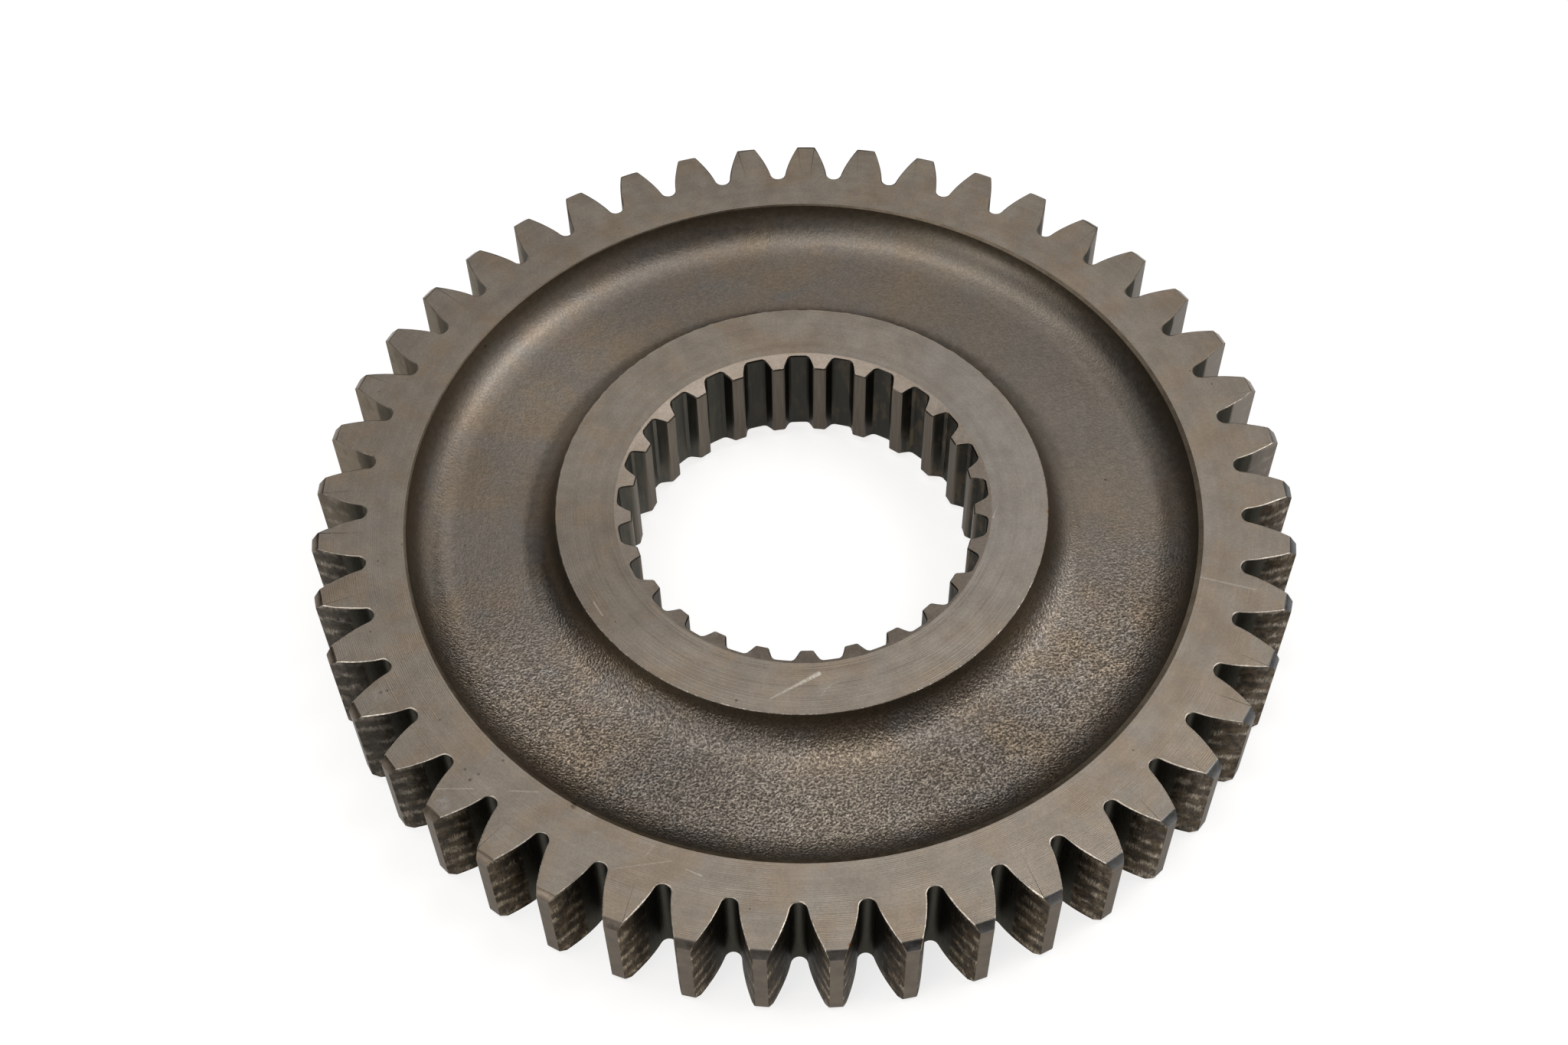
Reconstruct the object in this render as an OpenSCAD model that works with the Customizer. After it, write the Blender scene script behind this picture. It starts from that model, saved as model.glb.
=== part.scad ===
// Transmission gear: a spur gear with deep teeth, a forged web and a splined bore.
// The gear lies on its lower end face, with its axis on Z and the origin at the centre of that face.
// All lengths are in millimetres and all angles in degrees.

/* [Teeth] */
// Number of teeth round the rim
tooth_count = 45; // [40:1:60]
// Module, which is the pitch diameter divided by the number of teeth
tooth_module = 3; // [2.75:0.05:4]
// Pressure angle of the tooth flanks
pressure_angle = 20; // [18:0.5:23]
// Profile shift, in modules
profile_shift = 0.27; // [0.1:0.01:0.4]
// Height of a tooth above its reference line, in modules
addendum = 1.06; // [0.9:0.01:1.2]
// Depth of a tooth space below its reference line, in modules
dedendum = 1.55; // [1.4:0.01:1.6]
// Chamfer round the tooth tips at both ends
tip_chamfer = 1; // [0.3:0.1:2]

/* [Body] */
// Width between the two end faces
face_w = 17.5; // [14:0.5:40]
// Metal between the bottom of the tooth spaces and a forged recess
rim_wall = 5.95; // [4:0.05:9]
// Metal between the spline grooves and a forged recess
hub_wall = 8.95; // [6:0.1:12]
// Chamfer turned round the outer edge of each recess
rim_edge = 0.4; // [0.1:0.05:1]

/* [Forged recesses] */
// Depth of each recess below its end face
recess_depth = 5.5; // [4.5:0.1:6.5]
// Draft angle of the recess walls
recess_draft = 10; // [3:1:15]
// Fillet between the hub and the web
hub_fillet = 5.4; // [1:0.1:6.4]
// Fillet between the rim and the web
rim_fillet = 6.4; // [1:0.1:6.4]
// Distance from the turned axis to the centre of the forged recesses
forging_shift = 0.28; // [0:0.02:0.4]
// Direction of that distance, anticlockwise from +X
forging_shift_angle = 130; // [0:5:355]

/* [Splined bore] */
// Number of spline teeth in the bore
spline_count = 25; // [20:1:28]
// Module of the spline
spline_module = 2; // [1.8:0.05:2.1]
// Pressure angle of the spline
spline_angle = 20; // [18:0.5:25]
// Diameter across the bottoms of the grooves
spline_major_d = 54; // [53:0.1:56]
// Diameter across the tips of the spline teeth
spline_minor_d = 50; // [48.5:0.1:51]
// Width of a groove at the pitch circle of the spline
spline_groove_w = 4.45; // [4:0.05:4.7]
// Angle of one spline tooth from the nearest tooth space of the rim
spline_turn = 1.8; // [0:0.1:8]
// Slope of the lead-in cone at the upper end
upper_lead_in_angle = 15; // [10:1:45]
// Width of that cone outside the grooves
upper_lead_in_w = 0.55; // [0.2:0.05:1.5]
// Slope of the lead-in cone at the lower end
lower_lead_in_angle = 25; // [10:1:45]
// Width of that cone outside the grooves
lower_lead_in_w = 1.25; // [0.2:0.05:1.5]

/* [Hidden] */
steel = [0.45, 0.42, 0.38];
round_fn = 180;
fillet_fn = 48;
flank_steps = 9;
groove_steps = 4;
root_passes = 20;
arc_overlap = 0.005;
fillet_share = 0.97;
overcut = 1;
degrees_per_radian = 180 / PI;

pitch_r = tooth_count * tooth_module / 2;
base_r = pitch_r * cos(pressure_angle);
tip_r = pitch_r + tooth_module * (addendum + profile_shift);
root_r = pitch_r - tooth_module * (dedendum - profile_shift);
tooth_half_angle = (90 + 2 * profile_shift * tan(pressure_angle) * degrees_per_radian) / tooth_count;
space_base_angle = 180 / tooth_count - tooth_half_angle - involute_angle(pressure_angle);
root_fillet_r = full_round(0, root_passes);
space_first_angle = -90;

spline_pitch_r = spline_count * spline_module / 2;
spline_base_r = spline_pitch_r * cos(spline_angle);
spline_major_r = spline_major_d / 2;
spline_minor_r = spline_minor_d / 2;
groove_half_angle = spline_groove_w / 2 / spline_pitch_r * degrees_per_radian;
groove_base_angle = groove_half_angle + involute_angle(spline_angle);
groove_first_angle = space_first_angle + spline_turn + 180 / spline_count;
upper_lead_in_r = spline_major_r + upper_lead_in_w;
lower_lead_in_r = spline_major_r + lower_lead_in_w;
upper_lead_in_h = (upper_lead_in_r - spline_minor_r) * tan(upper_lead_in_angle);
lower_lead_in_h = (lower_lead_in_r - spline_minor_r) * tan(lower_lead_in_angle);

recess_inner_r = spline_major_r + hub_wall;
recess_outer_r = root_r - rim_wall;

// Involute of an angle: how far round the flank has come where it makes that angle with the radius
function involute_angle(angle) = tan(angle) * degrees_per_radian - angle;

// Length of the tangent from a point at radius r to a circle of radius base
function tangent_length(r, base) = sqrt(r * r - base * base);

// Roll angle at which an involute of a base circle reaches radius r
function roll_at(r, base) = tangent_length(r, base) / base * degrees_per_radian;

// Point of an involute at a roll angle; side is 1 where it winds away from the X axis, -1 towards it
function involute_point(base, start_angle, roll, side) =
    let (
        string = base * roll / degrees_per_radian,
        r = sqrt(base * base + string * string),
        angle = start_angle + side * (roll - atan(roll / degrees_per_radian))
    )
    [r * cos(angle), r * sin(angle)];

// Radius of the one arc that rounds the whole bottom of a tooth space, tangent to both flanks
function full_round(r, passes) =
    passes == 0 ? r
    : full_round(
        base_r * (space_base_angle + involute_angle(acos(base_r / max(root_r + r, base_r)))) / degrees_per_radian,
        passes - 1);

// Outline between two mirrored involute flanks, from one roll angle to another
function flank_pair(base, start_angle, roll_from, roll_to, side, steps) =
    let (
        rolls = [for (i = [0:steps]) roll_from + (roll_to - roll_from) * i / steps],
        flank = [for (roll = rolls) involute_point(base, start_angle, roll, side)],
        mirrored = [for (i = [steps:-1:0]) [flank[i][0], -flank[i][1]]]
    )
    concat(flank, mirrored);

// Section of one tooth space, centred on the X axis; the arc stands a hair past both flanks to meet them cleanly
module tooth_space_section() {
    arc_centre_r = root_r + root_fillet_r;
    root_roll = (tangent_length(arc_centre_r, base_r) - root_fillet_r) / base_r * degrees_per_radian;
    polygon(flank_pair(base_r, space_base_angle, root_roll, roll_at(tip_r + overcut, base_r), 1, flank_steps));
    translate([arc_centre_r, 0]) circle(r = root_fillet_r + arc_overlap, $fn = fillet_fn);
}

// Section of one spline groove, centred on the X axis, with its bottom on the major circle
module groove_section() {
    roll_from = roll_at(max(spline_minor_r - overcut, spline_base_r), spline_base_r);
    roll_to = roll_at(spline_major_r + overcut, spline_base_r);
    intersection() {
        polygon(flank_pair(spline_base_r, groove_base_angle, roll_from, roll_to, -1, groove_steps));
        circle(r = spline_major_r, $fn = round_fn);
    }
}

// Equal cuts right through the gear, round its axis
module through_cuts(count, first_angle) {
    for (i = [0:count - 1])
        rotate(first_angle + i * 360 / count)
            translate([0, 0, -overcut]) linear_extrude(face_w + 2 * overcut) children();
}

// Turned blank: rim, chamfered outside, bore with a lead-in cone at each end
module blank() {
    rotate_extrude($fn = round_fn)
        polygon([
            [lower_lead_in_r, 0],
            [tip_r - tip_chamfer, 0],
            [tip_r, tip_chamfer],
            [tip_r, face_w - tip_chamfer],
            [tip_r - tip_chamfer, face_w],
            [upper_lead_in_r, face_w],
            [spline_minor_r, face_w - upper_lead_in_h],
            [spline_minor_r, lower_lead_in_h]
        ]);
}

// Distance from the mouth of a drafted recess wall to the axis of a fillet between it and the web
function fillet_axis_in(r) = recess_depth * tan(recess_draft) + r * (1 / cos(recess_draft) - tan(recess_draft));

// Section of a forged recess: drafted walls and two fillets above a flat web, with its mouth at zero height
module recess_section() {
    largest_fillet_r = recess_depth / (1 - sin(recess_draft)) * fillet_share;
    inner_fillet_r = min(hub_fillet, largest_fillet_r);
    outer_fillet_r = min(rim_fillet, largest_fillet_r);
    inner_axis_r = recess_inner_r + fillet_axis_in(inner_fillet_r);
    outer_axis_r = recess_outer_r - fillet_axis_in(outer_fillet_r);
    inner_axis_z = inner_fillet_r - recess_depth;
    outer_axis_z = outer_fillet_r - recess_depth;
    mouth_in = overcut * tan(recess_draft);
    polygon([
        [recess_inner_r - mouth_in, overcut],
        [inner_axis_r - inner_fillet_r * cos(recess_draft), inner_axis_z - inner_fillet_r * sin(recess_draft)],
        [inner_axis_r, -recess_depth],
        [outer_axis_r, -recess_depth],
        [outer_axis_r + outer_fillet_r * cos(recess_draft), outer_axis_z - outer_fillet_r * sin(recess_draft)],
        [recess_outer_r + mouth_in, overcut]
    ]);
    translate([inner_axis_r, inner_axis_z]) circle(r = inner_fillet_r, $fn = fillet_fn);
    translate([outer_axis_r, outer_axis_z]) circle(r = outer_fillet_r, $fn = fillet_fn);
}

// Forged recess, cut down from the plane z = 0 and a little off the axis
module recess() {
    rotate(forging_shift_angle) translate([forging_shift, 0, 0])
        rotate_extrude($fn = round_fn) recess_section();
}

// Chamfer that the lathe leaves round the recess, true to the axis
module recess_edge() {
    rotate_extrude($fn = round_fn)
        polygon([
            [recess_inner_r + hub_fillet, 0],
            [recess_inner_r + hub_fillet, -rim_edge],
            [recess_outer_r, -rim_edge],
            [recess_outer_r + rim_edge, 0],
            [recess_outer_r + rim_edge + overcut, overcut],
            [recess_inner_r + hub_fillet, overcut]
        ]);
}

// The same cuts on both end faces
module both_faces() {
    translate([0, 0, face_w]) children();
    mirror([0, 0, 1]) children();
}

module gear() {
    color(steel)
        difference() {
            blank();
            both_faces() recess();
            both_faces() recess_edge();
            through_cuts(tooth_count, space_first_angle) tooth_space_section();
            through_cuts(spline_count, groove_first_angle) groove_section();
        }
}

gear();
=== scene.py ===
import math
from types import SimpleNamespace

import bmesh
import bpy
import numpy as np
from mathutils import Matrix, Vector


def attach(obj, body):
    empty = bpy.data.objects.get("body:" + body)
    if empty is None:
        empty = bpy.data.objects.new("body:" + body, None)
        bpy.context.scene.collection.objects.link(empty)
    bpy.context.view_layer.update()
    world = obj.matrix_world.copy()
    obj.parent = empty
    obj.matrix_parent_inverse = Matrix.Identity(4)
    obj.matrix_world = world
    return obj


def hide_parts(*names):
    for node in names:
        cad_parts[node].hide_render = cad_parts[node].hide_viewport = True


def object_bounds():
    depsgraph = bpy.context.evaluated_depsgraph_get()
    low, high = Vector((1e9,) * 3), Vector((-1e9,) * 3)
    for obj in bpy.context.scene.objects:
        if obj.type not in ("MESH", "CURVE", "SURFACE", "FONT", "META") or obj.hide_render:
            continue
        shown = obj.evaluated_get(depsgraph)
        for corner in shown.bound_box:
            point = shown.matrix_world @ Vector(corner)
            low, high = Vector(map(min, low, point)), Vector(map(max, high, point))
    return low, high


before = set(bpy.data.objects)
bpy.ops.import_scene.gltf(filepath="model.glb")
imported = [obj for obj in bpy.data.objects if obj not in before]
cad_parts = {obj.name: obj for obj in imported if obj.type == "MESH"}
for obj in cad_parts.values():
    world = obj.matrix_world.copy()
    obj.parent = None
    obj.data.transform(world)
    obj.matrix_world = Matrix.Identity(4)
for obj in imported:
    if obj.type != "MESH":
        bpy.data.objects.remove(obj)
cad_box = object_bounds()

# Camera: above and in front of the gear, which lies flat. The lens and the place give the
# photograph's view of it, with the same strong perspective.
MM = 0.001
CAMERA_AT = Vector((2.77, -188.61, 287.75)) * MM
CAMERA_AIM = Vector((-2.67, -3.85, 17.5)) * MM
CAMERA_ROLL = math.radians(-1.177)
CAMERA_LENS = 51.85
CAMERA_SENSOR = 36
CAMERA_NEAREST = 10 * MM

camera = bpy.data.objects.new("camera", bpy.data.cameras.new("camera"))
camera.data.lens = CAMERA_LENS
camera.data.sensor_width = CAMERA_SENSOR
camera.data.clip_start = CAMERA_NEAREST
looking = (CAMERA_AIM - CAMERA_AT).to_track_quat("-Z", "Y").to_matrix().to_4x4()
camera.matrix_world = Matrix.Translation(CAMERA_AT) @ looking @ Matrix.Rotation(CAMERA_ROLL, 4, "Z")
bpy.context.scene.collection.objects.link(camera)
bpy.context.scene.camera = camera
bpy.context.scene.view_settings.view_transform = "Standard"


# Floor: a plain white sheet that the gear lies on. It is white by itself to the camera and in the
# steel, and it still takes the gear's soft shadow.
FLOOR_SIZE = 12.0
FLOOR_GAP = 0.02 * MM
FLOOR_COLOR = (0.5, 0.5, 0.5)
FLOOR_GLOW = 0.74


def node(tree, kind, wires=None, **settings):
    """One shader node. wires gives its inputs, each a number, a colour or another node's output."""
    made = tree.nodes.new("ShaderNode" + kind)
    for name, value in settings.items():
        setattr(made, name, value)
    for place, value in (wires or {}).items():
        if isinstance(value, bpy.types.NodeSocket):
            tree.links.new(value, made.inputs[place])
        else:
            made.inputs[place].default_value = value
    return made


def calc(tree, operation, a, b=0.0, c=0.0):
    """The result of one Math node."""
    return node(tree, "Math", {0: a, 1: b, 2: c}, operation=operation).outputs[0]


def empty_material(name):
    """A material with nothing in its tree but the output."""
    material = bpy.data.materials.new(name)
    material.use_nodes = True
    material.node_tree.nodes.clear()
    tree = material.node_tree
    return material, tree, node(tree, "OutputMaterial")


def floor_material():
    """White paper that glows by itself where the camera or a shiny surface sees it."""
    material, tree, output = empty_material("white_floor")
    path = node(tree, "LightPath").outputs
    seen = calc(tree, "MAXIMUM", path["Is Camera Ray"], path["Is Glossy Ray"])
    seen = calc(tree, "MAXIMUM", seen, path["Is Transmission Ray"])
    paper = node(tree, "BsdfDiffuse", {"Color": (*FLOOR_COLOR, 1)})
    white = node(tree, "Emission", {"Strength": calc(tree, "MULTIPLY", seen, FLOOR_GLOW)})
    both = node(tree, "AddShader", {0: paper.outputs[0], 1: white.outputs[0]})
    tree.links.new(both.outputs[0], output.inputs["Surface"])
    return material


half = FLOOR_SIZE / 2
floor_corners = [(-half, -half, 0), (half, -half, 0), (half, half, 0), (-half, half, 0)]
floor_mesh = bpy.data.meshes.new("floor")
floor_mesh.from_pydata(floor_corners, [], [(0, 1, 2, 3)])
floor = bpy.data.objects.new("floor", floor_mesh)
floor.data.materials.append(floor_material())
floor.location.z = cad_box[0].z - FLOOR_GAP
bpy.context.scene.collection.objects.link(floor)


# Light: soft round lamps on all sides of the gear, stronger from the back and from both sides than
# from the front, in a dark room. They stand clear of the floor, all at the same distance.
LAMP_DISTANCE = 0.9
WIDE = 0.6
NARROW = 0.3
LAMP_COLOR = (1.0, 0.975, 0.945)
ROOM_COLOR = (0.006, 0.006, 0.0065)
# Each lamp's name, angle anticlockwise from +X, angle above the floor, width and power
LAMPS = (
    ("top_lamp", 250, 84, NARROW, 0.57),
    ("right_high_lamp", 2, 62, NARROW, 0.67),
    ("back_right_high_lamp", 26, 54, NARROW, 0.67),
    ("back_high_lamp", 60, 72, NARROW, 0.23),
    ("left_high_lamp", 180, 72, NARROW, 0.44),
    ("front_left_high_lamp", 240, 64, WIDE, 0.92),
    ("back_lamp", 90, 56, WIDE, 0.78),
    ("right_lamp", 0, 48, WIDE, 0.94),
    ("left_lamp", 180, 56, WIDE, 0.74),
    ("front_left_lamp", 231, 38, WIDE, 0.47),
    ("back_right_low_lamp", 45, 20, WIDE, 0.53),
    ("back_left_low_lamp", 130, 18, WIDE, 0.38),
    ("right_low_lamp", 0, 18, WIDE, 0.29),
    ("front_right_low_lamp", 320, 16, WIDE, 0.39),
    ("front_low_lamp", 270, 22, NARROW, 0.13),
    ("front_left_low_lamp", 221, 18, NARROW, 0.91))


def lamp(name, around, above, size, power):
    """A round soft lamp that faces the gear."""
    light = bpy.data.lights.new(name, "AREA")
    light.shape = "DISK"
    light.size = size
    light.energy = power
    light.color = LAMP_COLOR
    around, above = math.radians(around), math.radians(above)
    made = bpy.data.objects.new(name, light)
    made.location = LAMP_DISTANCE * Vector((
        math.cos(above) * math.cos(around), math.cos(above) * math.sin(around), math.sin(above)))
    made.rotation_euler = (-made.location).to_track_quat("-Z", "Y").to_euler()
    bpy.context.scene.collection.objects.link(made)


for each in LAMPS:
    lamp(*each)

world = bpy.data.worlds.new("room")
world.use_nodes = True
world.node_tree.nodes.clear()
room = world.node_tree
room_light = node(room, "Background", {"Color": (*ROOM_COLOR, 1)})
node(room, "OutputWorld", {"Surface": room_light.outputs[0]})
bpy.context.scene.world = world


# Tooth ring: 45 deep involute teeth, hobbed into the turned and forged rim, with full round roots.
# The roots keep the black skin of the hardening, and the worked flanks are brown and mottled.
# The tips carry the chamfer that was turned on the blank, and the hob left a burr on the ends.
TOOTH_COUNT = 45
TOOTH_MODULE = 3.0
PRESSURE_ANGLE = math.radians(20)
PROFILE_SHIFT = 0.27
# A hair less than in the CAD, so that the tips stay inside its box
ADDENDUM = 1.0597
DEDENDUM = 1.55
TIP_CHAMFER = 1.0
# Round of every edge of the tips
TIP_ROUND = 0.07
FACE_W = (cad_box[1].z - cad_box[0].z) / MM
FIRST_SPACE_ANGLE = math.radians(-90)
# Depth below the end face and distance into the metal, for each line of a burred edge
BURR_LINES = ((0.0, 0.14), (0.04, 0.04), (0.10, 0.0))
# How uneven the burr is, over how many points it changes, and its least and greatest shares
BURR_ROUGHNESS = 0.3
BURR_REACH = 1.2
BURR_LEAST, BURR_MOST = 0.3, 1.7
ROOT_PASSES = 20
ROOT_STEPS = 6
FLANK_STEPS = 11
LAND_STEPS = 2

pitch_r = TOOTH_COUNT * TOOTH_MODULE / 2
base_r = pitch_r * math.cos(PRESSURE_ANGLE)
tip_r = pitch_r + TOOTH_MODULE * (ADDENDUM + PROFILE_SHIFT)
root_r = pitch_r - TOOTH_MODULE * (DEDENDUM - PROFILE_SHIFT)


def involute_angle(angle):
    """How far round an involute has come where it makes this angle with the radius."""
    return np.tan(angle) - angle


def angle_at(r, base):
    """The angle between an involute of this base circle and the radius, at radius r."""
    return np.arccos(np.minimum(base / np.asarray(r, float), 1))


tooth_half_angle = (math.pi / 2 + 2 * PROFILE_SHIFT * math.tan(PRESSURE_ANGLE)) / TOOTH_COUNT
space_base_angle = math.pi / TOOTH_COUNT - tooth_half_angle - involute_angle(PRESSURE_ANGLE)
root_fillet_r = 0.0
for _ in range(ROOT_PASSES):
    touching = angle_at(max(root_r + root_fillet_r, base_r), base_r)
    root_fillet_r = base_r * float(space_base_angle + involute_angle(touching))
root_centre_r = root_r + root_fillet_r
flank_start_string = math.sqrt(root_centre_r**2 - base_r**2) - root_fillet_r
flank_start_r = math.hypot(base_r, flank_start_string)


def repeated(r, angle, count, first_angle):
    """The outline, as x and y, of equal teeth, from half of one: its mirror image follows each half."""
    pitch_angle = 2 * math.pi / count
    r = np.concatenate([r, r[-2:0:-1]])
    angle = np.concatenate([angle, pitch_angle - angle[-2:0:-1]])
    turns = first_angle + pitch_angle * np.arange(count)
    angle = (turns[:, None] + angle).ravel()
    r = np.tile(r, count)
    return np.stack([r * np.cos(angle), r * np.sin(angle)], 1)


def tooth_outline(limit_r):
    """The outline of the tooth ring where a cone or cylinder of this radius cuts off the tips."""
    flank_r = np.linspace(flank_start_r, limit_r - TIP_ROUND, FLANK_STEPS + 1)
    flank_angle = space_base_angle + involute_angle(angle_at(flank_r, base_r))
    start = flank_r[0] * np.array([math.cos(flank_angle[0]), math.sin(flank_angle[0])])
    first_turn = math.atan2(start[1], start[0] - root_centre_r)
    turn = np.linspace(math.pi, first_turn, ROOT_STEPS + 1)[:-1]
    root_x = root_centre_r + root_fillet_r * np.cos(turn)
    root_y = root_fillet_r * np.sin(turn)
    limit_angle = float(space_base_angle + involute_angle(angle_at(limit_r, base_r)))
    land_angle = np.linspace(limit_angle + TIP_ROUND / limit_r, math.pi / TOOTH_COUNT, LAND_STEPS + 1)
    r = np.concatenate([np.hypot(root_x, root_y), flank_r, np.full(LAND_STEPS + 1, limit_r)])
    angle = np.concatenate([np.arctan2(root_y, root_x), flank_angle, land_angle])
    return repeated(r, angle, TOOTH_COUNT, FIRST_SPACE_ANGLE)


def moved_in(outline, distance):
    """The outline moved into the metal by a distance, which may differ from point to point."""
    along = np.roll(outline, -1, 0) - np.roll(outline, 1, 0)
    along /= np.linalg.norm(along, axis=1)[:, None]
    outward = np.stack([along[:, 1], -along[:, 0]], 1)
    return outline - outward * np.broadcast_to(distance, len(outline))[:, None]


def wander(count, reach, seed):
    """Seeded random numbers round a closed ring, smooth over this many points, mostly from -2 to 2."""
    numbers = np.random.default_rng(seed).normal(size=count)
    frequency = np.fft.rfftfreq(count)
    softening = np.exp(-0.5 * (2 * math.pi * frequency * reach) ** 2)
    smooth = np.fft.irfft(np.fft.rfft(numbers) * softening, count)
    return smooth / smooth.std()


def burr_shape(count, seed):
    """How much of the burr is left at each point of an edge."""
    return np.clip(1 + BURR_ROUGHNESS * wander(count, BURR_REACH, seed), BURR_LEAST, BURR_MOST)


# The skin is one closed loop of rings: each strip of it joins two rings and wears one finish or more
FINISHES = (
    "turned_face", "forged_skin", "tooth_flank", "turned_chamfer", "tooth_land", "burr", "broached_bore")
skin_points = []
skin_faces = []
skin_finishes = []


def ring(outline, end, depth):
    """Adds a ring of points at a depth below one end face, and returns their numbers."""
    depth = np.broadcast_to(depth, len(outline))
    first = sum(len(p) for p in skin_points)
    skin_points.append(np.column_stack([outline, FACE_W - depth if end == "upper" else depth]))
    return np.arange(first, first + len(outline))


def add_faces(faces, end, names):
    """Adds faces that turn outward at the upper end, each with the name of its finish."""
    skin_faces.extend((faces if end == "upper" else faces[:, ::-1]).tolist())
    skin_finishes.extend(FINISHES.index(name) for name in names)


def strip(outer, inner, end, finish):
    """Joins two rings of equal count with four-sided faces. finish is one name, or one for each face."""
    quads = np.stack([outer, np.roll(outer, -1), np.roll(inner, -1), inner], 1)
    add_faces(quads, end, [finish] * len(quads) if isinstance(finish, str) else finish)


def halving_strip(outer, inner, end, finish):
    """Joins a ring to one with half as many points, by three triangles for each point of the inner ring."""
    here, middle, after = outer[0::2], outer[1::2], np.roll(outer[0::2], -1)
    triangles = np.concatenate([
        np.stack([here, middle, inner], 1),
        np.stack([middle, np.roll(inner, -1), inner], 1),
        np.stack([middle, after, np.roll(inner, -1)], 1)])
    add_faces(triangles, end, [finish] * len(triangles))


points_per_tooth = 2 * (ROOT_STEPS + FLANK_STEPS + 1 + LAND_STEPS)
tooth_points = TOOTH_COUNT * points_per_tooth
land_from = ROOT_STEPS + FLANK_STEPS + 1
on_land = np.zeros(points_per_tooth, bool)
on_land[land_from:land_from + 2 * LAND_STEPS] = True
on_land = np.tile(on_land, TOOTH_COUNT)
side_finish = np.where(on_land, "tooth_land", "tooth_flank").tolist()
chamfer_finish = np.where(on_land, "turned_chamfer", "tooth_flank").tolist()
burr_finish = np.where(on_land, "turned_chamfer", "burr").tolist()
tooth_edge = {}
tooth_side = {}
for end, seed in (("upper", 11), ("lower", 12)):
    burr = burr_shape(tooth_points, seed)
    rings = []
    for depth, inset in BURR_LINES:
        outline = tooth_outline(tip_r - TIP_CHAMFER + depth)
        rings.append(ring(moved_in(outline, inset * burr), end, depth))
    strip(rings[1], rings[0], end, burr_finish)
    strip(rings[2], rings[1], end, burr_finish)
    rings.append(ring(tooth_outline(tip_r - TIP_ROUND), end, TIP_CHAMFER - TIP_ROUND))
    rings.append(ring(tooth_outline(tip_r), end, TIP_CHAMFER + TIP_ROUND))
    strip(rings[3], rings[2], end, chamfer_finish)
    strip(rings[4], rings[3], end, chamfer_finish)
    tooth_edge[end] = rings[0]
    tooth_side[end] = rings[4]
strip(tooth_side["lower"], tooth_side["upper"], "upper", side_finish)


def coordinates(tree):
    """Places on the gear in millimetres: the whole place, laid flat, along each axis, and from the axis."""
    place = node(tree, "TexCoord").outputs["Object"]
    place = node(tree, "VectorMath", {0: place, "Scale": 1 / MM}, operation="SCALE").outputs[0]
    flat = node(tree, "VectorMath", {0: place, 1: (1, 1, 0)}, operation="MULTIPLY").outputs[0]
    along = node(tree, "SeparateXYZ", {0: place}).outputs
    r = node(tree, "VectorMath", {0: flat}, operation="LENGTH").outputs["Value"]
    return SimpleNamespace(place=place, flat=flat, x=along["X"], y=along["Y"], height=along["Z"], r=r)


def cloud(tree, place, size, detail=2.0, roughness=0.5, stretch=(1, 1, 1), twist=0.0):
    """Soft random values about 0.5, whose patches are about this many millimetres across."""
    if stretch != (1, 1, 1):
        squeeze = tuple(1 / s for s in stretch)
        place = node(tree, "VectorMath", {0: place, 1: squeeze}, operation="MULTIPLY").outputs[0]
    return node(tree, "TexNoise", {
        "Vector": place, "Scale": 1 / size, "Detail": detail, "Roughness": roughness,
        "Distortion": twist}).outputs[0]


def rings_round(tree, r, width, detail=1.0):
    """Random values about 0.5 that change only with the distance from the axis, as turning marks do."""
    wires = {"W": r, "Scale": 1 / width, "Detail": detail}
    return node(tree, "TexNoise", wires, noise_dimensions="1D").outputs[0]


def wave(tree, along, pitch):
    """A wave between 0 and 1 that repeats at this pitch."""
    turn = calc(tree, "MULTIPLY", along, 2 * math.pi / pitch)
    return calc(tree, "MULTIPLY_ADD", calc(tree, "SINE", turn), 0.5, 0.5)


def spread(tree, value, low, high, to_low=0.0, to_high=1.0):
    """Values from low to high become values from to_low to to_high, with soft ends."""
    wires = {"Value": value, "From Min": low, "From Max": high, "To Min": to_low, "To Max": to_high}
    return node(tree, "MapRange", wires, interpolation_type="SMOOTHSTEP").outputs[0]


def product(tree, *values):
    """Some values multiplied together."""
    result = values[0]
    for value in values[1:]:
        result = calc(tree, "MULTIPLY", result, value)
    return result


def most(tree, values):
    """The highest of some values."""
    highest = values[0]
    for value in values[1:]:
        highest = calc(tree, "MAXIMUM", highest, value)
    return highest


def slope(tree, a, times, b):
    """a, times a number or another value, plus b."""
    return calc(tree, "MULTIPLY_ADD", a, times, b)


def changed(tree, share, change):
    """A factor that is 1 where the share is 0, and 1 + change where it is full."""
    return slope(tree, share, change, 1.0)


def toward(tree, flat, direction):
    """How squarely a place lies in a direction from the axis: 1 straight that way, 0 square to it."""
    unit = node(tree, "VectorMath", {0: flat}, operation="NORMALIZE").outputs[0]
    return node(tree, "VectorMath", {0: unit, 1: direction}, operation="DOT_PRODUCT").outputs["Value"]


def spot(tree, flat, at, radius):
    """A soft round spot about a point, seen along the axis."""
    gap = node(tree, "VectorMath", {0: flat, 1: (*at, 0)}, operation="DISTANCE").outputs["Value"]
    return spread(tree, gap, 0.3 * radius, radius, 1, 0)


def tint(tree, share, a, b):
    """A colour between a and b."""
    a, b = [c if isinstance(c, bpy.types.NodeSocket) else (*c, 1) for c in (a, b)]
    return node(tree, "Mix", {0: share, 6: a, 7: b}, data_type="RGBA").outputs[2]


def shade(tree, color, *factors):
    """A colour made lighter or darker by some factors."""
    factor = product(tree, *factors)
    return node(tree, "VectorMath", {0: color, "Scale": factor}, operation="SCALE").outputs[0]


def relief(tree, height, depth_mm, under=None):
    """The surface normal over a height pattern that spans this many millimetres."""
    wires = {"Height": height, "Distance": depth_mm * MM, "Strength": 1.0}
    if under is not None:
        wires["Normal"] = under
    return node(tree, "Bump", wires).outputs[0]


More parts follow.
